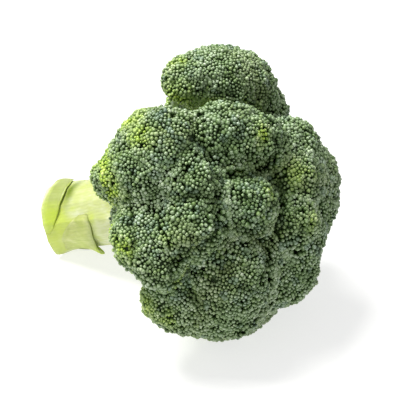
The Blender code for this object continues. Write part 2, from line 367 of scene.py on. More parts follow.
# Round a stub's section: share of its height, share of its stand-off, and how much of it is sliced flesh
CLASPING = (
    (0.00, -0.15, 0), (0.01, 0.10, 0), (0.12, 0.36, 0), (0.26, 0.68, 0), (0.38, 0.90, 0), (0.405, 0.94, 0.5),
    (0.42, 0.955, 0.5), (0.50, 0.99, 0.5), (0.56, 1.00, 0.5), (0.585, 0.985, 1), (0.70, 0.86, 1),
    (0.85, 0.69, 1), (0.96, 0.53, 1), (1.00, 0.42, 0), (0.99, 0.31, 0), (0.955, 0.21, 0), (0.90, 0.08, 0),
    (0.80, -0.06, 0),
    (0.66, -0.15, 0), (0.30, -0.2, 0),
)
STANDING = (
    (0.00, -0.15, 0), (0.01, 0.03, 0), (0.14, 0.10, 0), (0.28, 0.15, 0), (0.42, 0.20, 0), (0.54, 0.28, 0),
    (0.64, 0.39, 0), (0.73, 0.53, 0), (0.81, 0.69, 0.2), (0.88, 0.84, 0.4), (0.94, 0.96, 0.6),
    (0.975, 1.00, 1), (1.00, 0.93, 1), (1.00, 0.80, 0), (0.97, 0.62, 0), (0.92, 0.42, 0), (0.86, 0.22, 0),
    (0.79, 0.02, 0),
    (0.70, -0.15, 0), (0.30, -0.2, 0),
)
LEAF_STUBS = {  # section, bearings of its ends, then from end to end its base, top edge and stand-off
    "leaf_stub_1": (
        CLASPING, (158, 279), (-6, -3, 0, 2.5, 3), (12.5, 20.0, 21.5, 17.5, 7.0), (2.2, 2.6, 3.4, 2.3, 0.2)
    ),
    "leaf_stub_2": (
        STANDING, (252, 344), (34, 20, 12, 9, 9), (41.0, 42.0, 39.0, 34.5, 31.0), (0.2, 0.8, 1.3, 3.2, 4.6)
    ),
    "leaf_stub_3": (
        CLASPING, (48, 138), (16, 8, 6, 8, 18), (22.0, 33.0, 35.5, 31.0, 24.0), (0.6, 3.2, 4.4, 3.0, 0.5)
    ),
}
STUB_STEPS = 72


def leaf_stub_finish():
    """Yellow-green skin with fine veins along it. The looks are how much a point is sliced flesh, which is a
    flat greyer green, how much it is greened, and how much it is the pale lip at the cut."""
    finish = Finish("leaf_stub_flesh")
    sliced, green, pale, _ = finish.looks()
    fibre = finish.noise(finish.place((1, 1, 0.16), turned=True), 800, 3.0, 0.6)
    cloudy = finish.noise(finish.place((1, 1, 1)), 160, 3.0, 0.5)
    clouds = (0.32, srgb(166, 180, 82)), (0.5, srgb(176, 188, 98)), (0.68, srgb(188, 197, 120))
    skin = finish.ramp(cloudy, clouds, smooth=True)
    slice_clouds = (0.3, srgb(140, 151, 80)), (0.7, srgb(150, 160, 94))
    colour = finish.mix(sliced, skin, finish.ramp(cloudy, slice_clouds, smooth=True))
    colour = finish.mix(finish.greys(fibre, (0.45, 0), (0.72, 0.45)), colour, srgb(140, 156, 66))
    colour = finish.mix(green, colour, srgb(176, 197, 44))
    colour = finish.mix(pale, colour, srgb(216, 223, 168))
    finish.surface(colour, finish.greys(fibre, (0.3, 0.36), (0.7, 0.5)))
    finish.glow(0.5)
    finish.bump(fibre, 0.2, 0.0005)
    return finish.material


def through(values, share):
    """A smooth curve through values spaced evenly from 0 to 1: the one polynomial that meets them all."""
    return np.polyval(np.polyfit(np.linspace(0, 1, len(values)), values, len(values) - 1), share)


def make_leaf_stub(name, stub, material):
    """The section carried round the stem from one end of the stub to the other, between its base and its top
    edge and at its stand-off there, with a slow wave in the stand-off. The ends are closed flat."""
    section, ends, bases, tops, stand_offs = stub
    share = np.linspace(0, 1, STUB_STEPS)[:, None]
    section = np.array(section)[None]
    angle = ends[0] + (ends[1] - ends[0]) * share + 0 * section[..., 0]
    low, high = through(bases, share), through(tops, share)
    height = low + (high - low) * section[..., 0]
    wave = 1 + 0.06 * np.sin(13 * share + ends[0]) + 0.04 * np.sin(29 * share)
    off = through(stand_offs, share) * section[..., 1] * wave
    rings = place(angle, stalk_radius(angle, np.maximum(height, 0)) + off, height)
    rings[..., 2] = np.maximum(rings[..., 2], cut_height(rings) + 0.1)
    points = np.concatenate((rings[0].mean(0)[None], rings.reshape(-1, 3), rings[-1].mean(0)[None]))
    looks = np.zeros((len(points), 4))
    outer = section[..., 1] > 0.0
    inside = smooth_step(0.42, 0.2, section[..., 1]) * smooth_step(0.5, 0.7, section[..., 0])
    above = height - cut_height(rings)
    if bases[0] < 0:  # the one at the cut is sliced on one side, with a pale lip, and has skin on the other
        sliced = section[..., 2] * smooth_step(0.8, 0.5, share)
        green = 0.85 * outer * smooth_step(0.52, 0.76, share)
        pale = outer * smooth_step(5.0, 2.6, above)
        pale = pale * smooth_step(0.60, 0.46, share) * smooth_step(0.16, 0.28, share)
    else:
        sliced = section[..., 2] + 0 * share
        green = 0.8 * smooth_step(0.78, 0.95, section[..., 0]) * smooth_step(0.6, 0.85, share)
        pale = 0 * share * section[..., 0]
    looks[1:-1, 0] = sliced.ravel()
    looks[1:-1, 1] = np.maximum(0.9 * inside + 0 * share, green).ravel()
    looks[1:-1, 2] = pale.ravel()
    quads, triangles = closed_faces(len(rings), section.shape[1])
    faces = quads[:, ::-1], triangles[:, ::-1]  # its rings run the other way round, so its faces are turned
    piece = make_piece(name + "_flesh", points, *faces, material, "leaf_stub_flesh", looks)
    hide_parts(name)


leaf_stub_material = leaf_stub_finish()
for stub_name, stub in LEAF_STUBS.items():
    make_leaf_stub(stub_name, stub, leaf_stub_material)


# ---------------------------------------------------------------------------------------------------------
# The florets: each is one branch off the stalk, grown out into one or more rounded lobes that carry its
# buds. It is the same flesh as the stalk, and the lobes run into one another with soft creases.

# The height of each floret's foot and its branch's radius there, then its lobes: bearing, distance from the
# axis, height, radius, and the distance from bud to bud. The solids have most of these lobes, but not the
# last of rim_floret_1, 4, 5 and 9 nor the fourth of rim_floret_2, and four are a little larger there.
FLORETS = {
    "rim_floret_1": (62, 7.0, [
        (157, 57, 126, 20, 1.85), (182, 62, 126, 10.5, 1.8), (144, 57, 130, 18.3, 1.85),
        (162, 46, 112, 15, 1.8), (172, 61, 125, 12.2, 1.85),
    ]),
    "rim_floret_2": (60, 7.0, [
        (232, 54, 125, 20.4, 1.85), (222, 54, 136, 18, 1.9), (238, 62, 109, 10, 1.8),
        (219, 61, 129, 11, 1.85), (244, 46, 151, 11.5, 2.0),
    ]),
    "rim_floret_3": (78, 5.5, [
        (267, 60, 123, 16, 1.85), (262, 46, 110, 16, 1.8), (280, 65, 131, 10.5, 1.85),
        (268, 48, 145, 15.5, 2.0),
    ]),
    "rim_floret_4": (60, 7.0, [
        (323, 51, 132, 22.5, 1.85), (307, 56, 120, 19.5, 1.85), (340, 52, 114, 20.7, 1.85),
        (297, 64, 117, 8.6, 1.8),
    ]),
    "rim_floret_5": (78, 5.5, [
        (2, 50, 119, 18, 1.8), (1, 42, 145, 19.5, 1.85), (9, 30, 159, 11, 1.95),
        (350, 58, 123, 12.2, 1.85),
    ]),
    "rim_floret_6": (60, 6.0, [(28, 54, 118, 23.4, 1.8)]),
    "rim_floret_7": (77, 5.5, [(58, 50, 116, 22, 1.8), (66, 34, 146, 21.5, 1.85), (85, 37, 155, 11.5, 1.9)]),
    "rim_floret_8": (59, 6.0, [(88, 51, 118, 21, 1.85)]),
    "rim_floret_9": (76, 5.0, [(118, 49, 118, 18, 1.85), (124, 52, 134, 10.8, 1.85)]),
    "inner_floret_1": (82, 4.0, [(200, 37, 150, 17, 2.0)]),
    "inner_floret_2": (98, 3.0, [(175, 25, 155, 15.5, 2.0)]),
    "inner_floret_3": (88, 4.5, [(115, 29, 153, 16.5, 1.9)]),
    "inner_floret_4": (86, 4.5, [(320, 30, 144, 16, 1.95), (310, 44, 144, 19, 1.95)]),
    "inner_floret_5": (94, 4.0, [(260, 22, 147, 17, 2.05), (268, 21, 159, 13.3, 2.05)]),
    "inner_floret_6": (97, 3.5, [(357, 17, 161, 11.7, 2.05), (40, 28, 154, 15, 1.95)]),
    "inner_floret_7": (96, 3.5, [(60, 14, 148, 17, 2.0), (85, 14, 161, 11.8, 2.0)]),
}
lobe_floret = np.concatenate([[i] * len(floret[2]) for i, floret in enumerate(FLORETS.values())])
lobe_table = np.array([lobe for floret in FLORETS.values() for lobe in floret[2]], float)
lobe_centre = place(lobe_table[:, 0], lobe_table[:, 1], lobe_table[:, 2])
lobe_radius = lobe_table[:, 3]
lobe_pitch = lobe_table[:, 4]
floret_foot = np.array([place(floret[2][0][0], 8.0, floret[0]) for floret in FLORETS.values()])
floret_girth = np.array([floret[1] for floret in FLORETS.values()])
floret_first = np.array([np.flatnonzero(lobe_floret == i)[0] for i in range(len(FLORETS))])
# Where a floret's branch forks into a limb for each lobe, and the way that each lobe faces from there
floret_fork = floret_foot + 0.45 * (lobe_centre[floret_first] - floret_foot)
lobe_facing = unit(lobe_centre - floret_fork[lobe_floret])

# How far round from a lobe's top its buds reach, in degrees: further on the small lobes
SMALL_LOBE, SMALL_COVER, COVER = 15.2, 146, 118
lobe_cover = np.radians(np.where(lobe_radius < SMALL_LOBE, SMALL_COVER, COVER))
UNDER_TUCK = 0.45  # how far the underside is drawn in, as a share of the radius
BUD_HALF = 0.95  # the buds' middles lie this far under the lobe's outer surface
CREASE_SOFTNESS = 3.6  # how softly one lobe runs into the next


def drawn_in(tilt):
    """The share of its radius that a lobe keeps at a tilt from its top: all of it over the top and sides, and
    less on the underside, as a toadstool's cap does."""
    return 1 - UNDER_TUCK * smooth_step(math.radians(108), math.radians(165), tilt)


def lobe_depths(points):
    """How far each point lies outside each lobe: its distance from the middle less the drawn-in radius."""
    away = points[:, None] - lobe_centre[None]
    distance = np.linalg.norm(away, axis=2)
    tilt = np.arccos(np.clip((away * lobe_facing).sum(2) / np.maximum(distance, 1e-6), -1, 1))
    return distance - (lobe_radius - BUD_HALF) * drawn_in(tilt)


def crown_depth(points):
    """How far outside the whole crown each point lies: a soft least value of its depths outside the lobes,
    the softness times minus the logarithm of the sum of exp(-depth / softness)."""
    depths = lobe_depths(points)
    least = depths.min(1)
    return least - CREASE_SOFTNESS * np.log(np.exp((least[:, None] - depths) / CREASE_SOFTNESS).sum(1))


def crown_slope(points):
    """Which way is straight out of the crown at each point, from differences over a tenth of a millimetre."""
    step = 0.1
    return np.stack(
        [crown_depth(points + step * way) - crown_depth(points - step * way) for way in np.eye(3)], axis=1
    ) / (2 * step)


def onto_crown(points, level=0.0, rounds=2, most=3.0):
    """Points moved straight out or in until they lie at a level outside the crown's surface."""
    for _ in range(rounds):
        slope = crown_slope(points)
        size = np.maximum((slope**2).sum(1), 0.2)
        shift = np.clip((crown_depth(points) - level) / size, -most, most)
        points = points - shift[:, None] * slope
    return points


def lattice(radius, pitch, jitter, dice):
    """Directions spread evenly over a ball, one to each hexagon of the pitch: the sunflower's rule, the
    golden angle from each to the next, then jittered and turned at random."""
    count = max(4, int(4 * math.pi * radius**2 / (0.866 * pitch**2)))
    step = np.arange(count) + 0.5
    rise = 1 - 2 * step / count
    turn = step * math.pi * (3 - math.sqrt(5))
    girth = np.sqrt(1 - rise**2)
    ways = np.stack((girth * np.cos(turn), girth * np.sin(turn), rise), axis=1)
    ways = unit(ways + dice.normal(0, jitter * pitch / radius, ways.shape))
    turned, _ = np.linalg.qr(dice.normal(size=(3, 3)))
    return ways @ turned


def spread(pitch_share, jitter, seed, inset=0.0):
    """Points over every lobe's top and sides, at pitch_share times its bud pitch, with those that another
    lobe covers left out. Returns the points and the lobe of each."""
    dice = np.random.default_rng(seed)
    points, homes = [], []
    for lobe in range(len(lobe_table)):
        pitch = pitch_share * lobe_pitch[lobe]
        ways = lattice(lobe_radius[lobe], pitch, jitter, dice)
        spots = lobe_centre[lobe] + (lobe_radius[lobe] - BUD_HALF) * ways
        ragged = 0.12 * np.sin(3.1 * spots[:, 0] / 4) * np.cos(2.3 * spots[:, 1] / 4 + spots[:, 2] / 5)
        tilt = np.arccos(np.clip(ways @ lobe_facing[lobe], -1, 1))
        others = np.delete(lobe_depths(spots), lobe, axis=1).min(1)
        kept = (tilt < lobe_cover[lobe] + ragged) & (others > -inset)
        points.append(spots[kept])
        homes.append(np.full(kept.sum(), lobe))
    return np.concatenate(points), np.concatenate(homes)


NEIGHBOUR_REACH = 2.5  # how far off a lobe's surface the neighbours of its buds are looked for


def neighbourhoods(points, homes):
    """For each lobe in turn, the numbers of its own points and of all the points that lie near it."""
    for lobe in range(len(lobe_table)):
        reach = lobe_radius[lobe] + NEIGHBOUR_REACH
        near = np.flatnonzero(((points - lobe_centre[lobe]) ** 2).sum(1) < reach**2)
        yield np.flatnonzero(homes == lobe), near


def push_apart(points, homes, pitch, strength):
    """One round of settling: each point moves off its neighbours by strength times what they lack of a
    pitch."""
    moved = points.copy()
    for mine, near in neighbourhoods(points, homes):
        across = points[mine][:, None] - points[near][None]
        apart = np.sqrt((across**2).sum(2))
        wanted = 0.5 * (pitch[mine][:, None] + pitch[near][None]) * 1.08
        push = np.where((apart > 1e-6) & (apart < wanted), wanted - apart, 0) / np.maximum(apart, 1e-6)
        moved[mine] += strength * np.einsum("ij,ijk->ik", push, across)
    return moved


def thin_out(points, homes, pitch, least):
    """Leaves out each point that lies nearer than least pitches to one that comes before it."""
    kept = np.ones(len(points), bool)
    for mine, near in neighbourhoods(points, homes):
        apart = np.sqrt(((points[mine][:, None] - points[near][None]) ** 2).sum(2))
        crowded = (apart < least * pitch[mine][:, None]) & (near[None] < mine[:, None])
        kept[mine[crowded.any(1)]] = False
    return kept


def nearest(points, centres, block=2000):
    """For each point, the number of the nearest centre and how far off it is."""
    index = np.empty(len(points), int)
    distance = np.empty(len(points))
    for start in range(0, len(points), block):
        part = points[start : start + block]
        square = (part**2).sum(1)[:, None] + (centres**2).sum(1)[None] - 2 * part @ centres.T
        index[start : start + block] = square.argmin(1)
        distance[start : start + block] = np.sqrt(np.maximum(square.min(1), 0))
    return index, distance


# Buds stand in heads about 9 mm across, and a head is made of clusters about 4 mm across. Each is a low dome:
# the surface sinks by the dome's depth times the square of the distance from its middle over its reach.
# Deep furrows run between some of the lobes: each is a line of points, as bearing, distance and height.
FURROW_DEPTH, FURROW_REACH = 2.9, 2.3
FURROWS = (
    (
        (221, 55, 154), (223, 46, 154), (232, 43, 157), (243, 45, 161), (256, 43, 159), (266, 46, 160),
        (272, 49, 159), (275, 55, 156), (275, 60, 151), (277, 62, 143), (279, 68, 141), (286, 67, 138),
        (296, 62, 137), (302, 65, 139),
    ),
    (
        (268, 46, 160), (277, 39, 160), (287, 32, 162), (304, 29, 161), (318, 32, 161), (319, 39, 162),
        (330, 47, 157),
    ),
    ((252, 57, 147), (250, 56, 154), (250, 52, 159), (256, 43, 159)),
    ((178, 26, 170), (185, 17, 167), (196, 12, 162), (229, 23, 163), (235, 31, 159), (240, 43, 161)),
    ((165, 8, 160), (342, 1, 163), (319, 13, 167), (321, 21, 164)),
    ((249, 67, 125), (255, 68, 127), (258, 70, 127)),
)
HEAD_PITCH, HEAD_DEPTH, HEAD_REACH = 4.9, 2.0, 5.6
CLUSTER_PITCH, CLUSTER_DEPTH, CLUSTER_REACH = 2.25, 0.95, 2.7
head_centres = onto_crown(spread(HEAD_PITCH, 0.22, 11)[0])
cluster_centres = onto_crown(spread(CLUSTER_PITCH, 0.22, 12)[0])
cluster_dice = np.random.default_rng(13)
cluster_tone = cluster_dice.normal(0, 1, len(cluster_centres))
cluster_hue = cluster_dice.uniform(0, 1, len(cluster_centres))
head_lift = cluster_dice.normal(0, 1, len(head_centres))
cluster_size = cluster_dice.normal(0, 1, len(cluster_centres))


def furrow_sink(points):
    """How far the furrows sink the surface: their depth times exp(-(away/reach)^2), where away is how far the
    point is from the nearest of their straight stretches."""
    away = np.full(len(points), 99.0)
    for line in FURROWS:
        ends = place(*np.array(line, float).T)
        for start, along in zip(ends[:-1], np.diff(ends, axis=0)):
            share = np.clip((points - start) @ along / (along @ along), 0, 1)
            away = np.minimum(away, np.linalg.norm(points - start - share[:, None] * along, axis=1))
    return FURROW_DEPTH * np.exp(-((away / FURROW_REACH) ** 2))


def domes(points):
    """How far the heads and clusters sink the surface at each point, with the middles of its own head and
    cluster."""
    head, head_away = nearest(points, head_centres)
    cluster, cluster_away = nearest(points, cluster_centres)
    sink = HEAD_DEPTH * np.clip(head_away / HEAD_REACH, 0, 1.1) ** 2
    sink += CLUSTER_DEPTH * np.clip(cluster_away / CLUSTER_REACH, 0, 1.1) ** 2
    sink -= 0.28 * head_lift[head]
    return sink, head, cluster


# ---------------------------------------------------------------------------------------------------------
# The branches: pale ribbed limbs off the stalk, which fork to every lobe and fan out under it into branchlets
# and thin bud stems. A skin of packed bud stems closes each lobe under its buds, dark green over the top as
# painted shade for the gaps between the buds.

BRANCHLETS = 15  # to a lobe
BUD_STEMS = 4  # to a branchlet
FAN_TUBES = ((8, 0.05, 0.42), (6, 0.3, 0.55))  # branchlets, then stems: sides, and shade at foot and tip
LIMB_STEPS, LIMB_SIDES = 26, 36
SKIN_DEPTH = 1.0  # from the buds' middles down to the skin, in mm
SLANT = (0.31, 0.47, 0.83)  # a direction off every axis, to measure turns from


def curve(start, bend, end, count):
    """Points along a bent line, as the share t runs from 0 to 1: (1-t)^2 start + 2t(1-t) bend + t^2 end.
    Works on many lines at once."""
    share = np.linspace(0, 1, count)[:, None]
    start, bend, end = (np.asarray(p)[..., None, :] for p in (start, bend, end))
    return (1 - share) ** 2 * start + 2 * share * (1 - share) * bend + share**2 * end


def sweep(paths, radii, sides, ribs=0, rib_depth=0.0):
    """Round sections carried along many paths at once: at each path point, a ring of the radius there in the
    plane across the path, with ribs as a wave round it. The ends are closed by poles. Returns the points of
    every tube in order, as closed_faces numbers them."""
    along = unit(np.gradient(paths, axis=1))
    guide = unit(np.cross(paths[:, -1] - paths[:, 0], SLANT))[:, None]
    across = unit(np.cross(along, guide))
    upward = np.cross(along, across)
    turn = np.arange(sides) * 2 * math.pi / sides
    wave = 1 + rib_depth * np.cos(ribs * turn)
    ring = np.cos(turn)[:, None] * across[:, :, None] + np.sin(turn)[:, None] * upward[:, :, None]
    rings = paths[:, :, None] + (radii[:, :, None] * wave)[..., None] * ring
    tail = paths[:, :1] - 0.4 * radii[:, :1, None] * along[:, :1]
    nose = paths[:, -1:] + 0.4 * radii[:, -1:, None] * along[:, -1:]
    return np.concatenate((tail, rings.reshape(len(paths), -1, 3), nose), axis=1)


def many_faces(count, size, quads, triangles):
    """The faces of one shape repeated for each of count copies of size points."""
    offset = (np.arange(count) * size)[:, None, None]
    return (quads[None] + offset).reshape(-1, 4), (triangles[None] + offset).reshape(-1, 3)


def branch_finish():
    """Pale green flesh, which darkens through the green of bud stems to a deep green as the first look rises.
    The deep green is partly painted shade, for the skin that shows in the gaps between the buds.
    """
    finish = Finish("branch_flesh")
    shade = finish.looks()[0]
    fibre = finish.noise(finish.place((1, 1, 0.3), turned=True), 700, 3.0, 0.6)
    cloudy = finish.noise(finish.place((1, 1, 1)), 130, 3.0, 0.5)
    clouds = (0.3, srgb(168, 194, 98)), (0.5, srgb(188, 210, 122)), (0.7, srgb(206, 222, 148))
    pale = finish.ramp(cloudy, clouds, smooth=True)
    pale = finish.mix(finish.greys(fibre, (0.4, 0), (0.7, 0.5)), pale, srgb(150, 182, 84))
    stems = finish.ramp(fibre, ((0.3, srgb(70, 96, 38)), (0.7, srgb(112, 142, 66))))
    # The deep green: the bud stems' colour darkened with painted shade for the gaps between buds.
    dark = finish.ramp(fibre, ((0.3, srgb(44, 68, 30)), (0.7, srgb(80, 108, 54))))
    half = finish.greys(shade, (0.0, 0), (0.5, 1))
    full = finish.greys(shade, (0.5, 0), (1.0, 1))
    colour = finish.mix(full, finish.mix(half, pale, stems), dark)
    finish.surface(colour, finish.greys(fibre, (0.3, 0.45), (0.7, 0.62)))
    finish.bump(fibre, 0.3, 0.0005)
    return finish.material


def round_about(facing):
    """Two directions square to the way a lobe faces and to each other."""
    first = unit(np.cross(facing, SLANT))
    return first, np.cross(facing, first)


def lobe_skin(lobe):
    """The closed skin under a lobe's buds: rings about the way the lobe faces, from the middle of the
    underside over the rim to the top, at the lobe's radius less the depth of a bud and of the domes."""
    sides, rings = 60, 30
    tilt = np.linspace(math.pi, 0, rings + 2)[1:-1]
    turn = np.arange(sides) * 2 * math.pi / sides
    turn, tilt = np.meshgrid(turn, tilt)
    facing = lobe_facing[lobe]
    first, second = round_about(facing)
    ways = np.cos(tilt)[..., None] * facing + np.sin(tilt)[..., None] * (
        np.cos(turn)[..., None] * first + np.sin(turn)[..., None] * second
    )
    flutes = 1 + 0.05 * smooth_step(math.radians(112), math.radians(130), tilt) * np.cos(15 * turn)
    reach = (lobe_radius[lobe] - BUD_HALF - SKIN_DEPTH) * drawn_in(tilt) * flutes
    spots = (lobe_centre[lobe] + reach[..., None] * ways).reshape(-1, 3)
    upper = smooth_step(math.radians(128), math.radians(112), tilt).ravel()
    sink = (domes(spots)[0] + furrow_sink(spots)) * upper
    depth = crown_depth(spots)
    lift = np.clip(-SKIN_DEPTH - depth, 0, 2.4) * smooth_step(-7.0, -4.5, depth)
    spots += (lift - sink)[:, None] * ways.reshape(-1, 3)
    poles = [lobe_centre[lobe] - facing * reach[0].mean(), lobe_centre[lobe] + facing * reach[-1].mean()]
    points = np.concatenate((poles[:1], spots, poles[1:]))
    # Darkest over the top, where the skin shows only in the gaps between buds: painted shade there.
    shade = np.concatenate(((0.45,), smooth_step(math.radians(135), math.radians(112), tilt).ravel(), (1.0,)))
    return points, closed_faces(rings, sides), 0.45 + 0.55 * shade


def lobe_fan(lobe, limb_end, dice):
    """Branchlets from the end of the lobe's limb to its rim, each bowed outwards, and bud stems from two
    thirds of the way along each to spots round its end."""
    facing = lobe_facing[lobe]
    first, second = round_about(facing)
    turn = (np.arange(BRANCHLETS) + dice.uniform(-0.3, 0.3, BRANCHLETS)) * 2 * math.pi / BRANCHLETS
    outward = np.cos(turn)[:, None] * first + np.sin(turn)[:, None] * second
    radius = lobe_radius[lobe] - 1.6
    tilt = np.radians(dice.uniform(112, 134, BRANCHLETS))
    end = lobe_centre[lobe] + radius * (np.sin(tilt)[:, None] * outward + np.cos(tilt)[:, None] * facing)
    start = limb_end + 1.2 * outward - dice.uniform(0, 3.5, BRANCHLETS)[:, None] * facing
    bend = 0.5 * start + 0.5 * end - (0.10 * radius) * facing + 0.10 * radius * outward
    bend += dice.normal(0, 0.5, bend.shape)
    paths = curve(start, bend, end, 7)
    girth = dice.uniform(1.0, 1.5, BRANCHLETS)[:, None] * radius / 20
    radii = girth * np.linspace(1.25, 0.75, 7)[None]
    fork = np.repeat(paths[:, 4], BUD_STEMS, axis=0)
    tip = np.repeat(end, BUD_STEMS, axis=0) + dice.normal(0, 1.9, (BRANCHLETS * BUD_STEMS, 3))
    tip = lobe_centre[lobe] + (radius - 0.2) * unit(tip - lobe_centre[lobe])
    stems = curve(fork, 0.5 * fork + 0.5 * tip + dice.normal(0, 0.5, tip.shape), tip, 5)
    stem_radii = np.repeat(girth, BUD_STEMS, axis=0) * np.linspace(0.62, 0.45, 5)[None]
    return (paths, radii), (stems, stem_radii)


def make_branches(floret, name, material):
    """One floret's flesh: its branch on to its first lobe, a limb to each other lobe, and under every lobe
    its fan and its skin."""
    dice = np.random.default_rng(100 + floret)
    lobes = np.flatnonzero(lobe_floret == floret)
    foot, girth = floret_foot[floret], floret_girth[floret]
    fork = floret_fork[floret]
    parts = []  # each is its points, its faces and the shade of each point
    share = np.linspace(0, 1, LIMB_STEPS)
    for lobe in lobes:
        hub = lobe_centre[lobe] - 0.62 * lobe_radius[lobe] * lobe_facing[lobe]
        start = foot - 5 * unit(hub - foot) if lobe == lobes[0] else fork - 4 * unit(hub - foot)
        bend = 0.55 * start + 0.45 * hub + 0.08 * np.linalg.norm(hub - start) * unit(start * (1, 1, 0))
        path = curve(start, bend, hub, LIMB_STEPS)[None]
        if lobe == lobes[0]:
            radii = girth * (1.0 + 0.30 * smooth_step(0.25, 0.0, share) + 0.22 * share**2)
        else:
            radii = min(0.72 * girth, 0.24 * lobe_radius[lobe]) * (1.05 + 0.35 * share**2)
        shade_end = 0.35 if lobe_radius[lobe] > 12.5 else 0.8
        knots = 1 + 0.03 * np.sin(9 * share + floret) + 0.02 * np.sin(23 * share)
        points = sweep(path, (radii * knots)[None], LIMB_SIDES, ribs=7, rib_depth=0.05)[0]
        ring_shade = np.repeat(shade_end * smooth_step(0.3, 1.0, share), LIMB_SIDES)
        shades = np.concatenate(((0,), ring_shade, (shade_end,)))
        parts.append((points, closed_faces(LIMB_STEPS, LIMB_SIDES), shades))
        for (lines, widths), (sides, light, deep) in zip(lobe_fan(lobe, hub, dice), FAN_TUBES):
            tubes = sweep(lines, widths, sides)
            faces = many_faces(len(lines), tubes.shape[1], *closed_faces(lines.shape[1], sides))
            shades = np.repeat(np.linspace(light, deep, lines.shape[1]), sides)
            shades = np.tile(np.concatenate(((light,), shades, (deep,))), len(lines))
            parts.append((tubes.reshape(-1, 3), faces, shades))
        parts.append(lobe_skin(lobe))
    counts = np.cumsum([0] + [len(points) for points, _, _ in parts])
    quads = np.concatenate([faces[0] + first for (_, faces, _), first in zip(parts, counts)])
    triangles = np.concatenate([faces[1] + first for (_, faces, _), first in zip(parts, counts)])
    points = np.concatenate([points for points, _, _ in parts])
    looks = np.zeros((len(points), 4))
    looks[:, 0] = np.concatenate([shade for _, _, shade in parts])
    piece = make_piece(name + "_branches", points, quads, triangles, material, "stalk_flesh", looks)
    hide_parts(name)


branch_material = branch_finish()
for floret_number, floret_name in enumerate(FLORETS):
    make_branches(floret_number, floret_name, branch_material)


# ---------------------------------------------------------------------------------------------------------
# The buds: thousands of shut flower buds, egg-shaped and packed shoulder to shoulder, each with four sepals
# folded over its tip. They are dull grey-green with a bloom, yellow-green where leaves shaded them.

SETTLING = (0.40, 0.32, 0.26, 0.20)  # the strength of each round of settling
LEAST_BEFORE, LEAST_AFTER = 0.45, 0.67  # the least share of a pitch between two buds, before and after
# Down a bud's side from base to tip: share of its length from its middle, and share of its radius
BUD_SECTION = np.array(((-1.0, 0.55), (-0.30, 0.97), (0.38, 0.87), (0.80, 0.50)))
BUD_SIDES = 8
BUD_TIP = 0.90
# Where leaves shaded the head, so that its buds are yellow-green: bearing, distance from the axis, height,
# reach and strength; and where the bloom on them is thickest and bluest
YELLOW_PLACES = (
    (218, 72, 129, 6, 1.0), (226, 71, 137, 6, 0.8), (236, 74, 116, 7, 1.0), (245, 72, 118, 6, 0.9),
    (266, 76, 122, 7, 1.0), (190, 30, 167, 5, 0.8), (123, 10, 167, 8, 0.45), (10, 19, 170, 6, 0.5),
    (255, 17, 170, 4, 0.6), (182, 71, 127, 5, 0.8), (189, 60, 129, 6, 0.6), (295, 70, 115, 6, 0.9),
    (301, 71, 121, 6, 0.8), (60, 66, 112, 7, 0.8), (100, 60, 108, 7, 0.8), (20, 68, 110, 7, 0.7),
    (340, 66, 104, 8, 0.8), (232, 66, 104, 8, 0.8),
)
BLUE_PLACES = (
    (217, 68, 141, 7, 0.9), (229, 69, 112, 5, 0.8), (186, 64, 134, 5, 0.7), (205, 48, 152, 6, 0.5),
    (280, 30, 165, 7, 0.5), (330, 60, 140, 8, 0.6), (20, 40, 160, 7, 0.5), (90, 60, 130, 8, 0.6),
)


def grow_buds():
    """Where every bud stands: spread over the lobes, settled until evenly packed, and sunk with the domes of
    their heads and clusters. Returns middles, the ways they point, radii, homes and what the colours need."""
    points, homes = spread(0.96, 0.26, 21, inset=3.2)
    pitch = lobe_pitch[homes]
    points = onto_crown(points)
    kept = thin_out(points, homes, pitch, LEAST_BEFORE)
    points, homes, pitch = points[kept], homes[kept], pitch[kept]
    for strength in SETTLING:
        points = onto_crown(push_apart(points, homes, pitch, strength), rounds=1)
    kept = thin_out(points, homes, pitch, LEAST_AFTER)
    points, homes, pitch = points[kept], homes[kept], pitch[kept]
    outward = unit(crown_slope(points))
    sink, head, cluster = domes(points)
    dice = np.random.default_rng(22)
    depths = lobe_depths(points)
    least = depths.min(1)
    crease = np.clip((least - crown_depth(points)) / (CREASE_SOFTNESS * math.log(2)), 0, 1)
    sink = sink * (1 - 0.6 * crease) + furrow_sink(points)
    lean = 0.10 * (points - head_centres[head]) + 0.12 * (points - cluster_centres[cluster])
    ways = unit(outward + lean + dice.normal(0, 0.20, points.shape))
    lift = np.clip(dice.normal(0, 0.30, len(points)), -0.9, 0.6)
    points = points + (lift - sink)[:, None] * outward
    size = 1.01 + 0.10 * cluster_size[cluster] + dice.normal(0, 0.15, len(points))
    radii = 0.53 * pitch * np.clip(size, 0.70, 1.50)
    return points, ways, radii, homes, cluster, sink


def near_places(points, places):
    """How strongly the places reach each point: the greatest of strength times exp(-(distance/reach)^2)."""
    reached = np.zeros(len(points))
    for bearing, ring, height, reach, strength in places:
        square = ((points - place(bearing, ring, height)) ** 2).sum(1)
        reached = np.maximum(reached, strength * np.exp(-square / reach**2))
    return reached


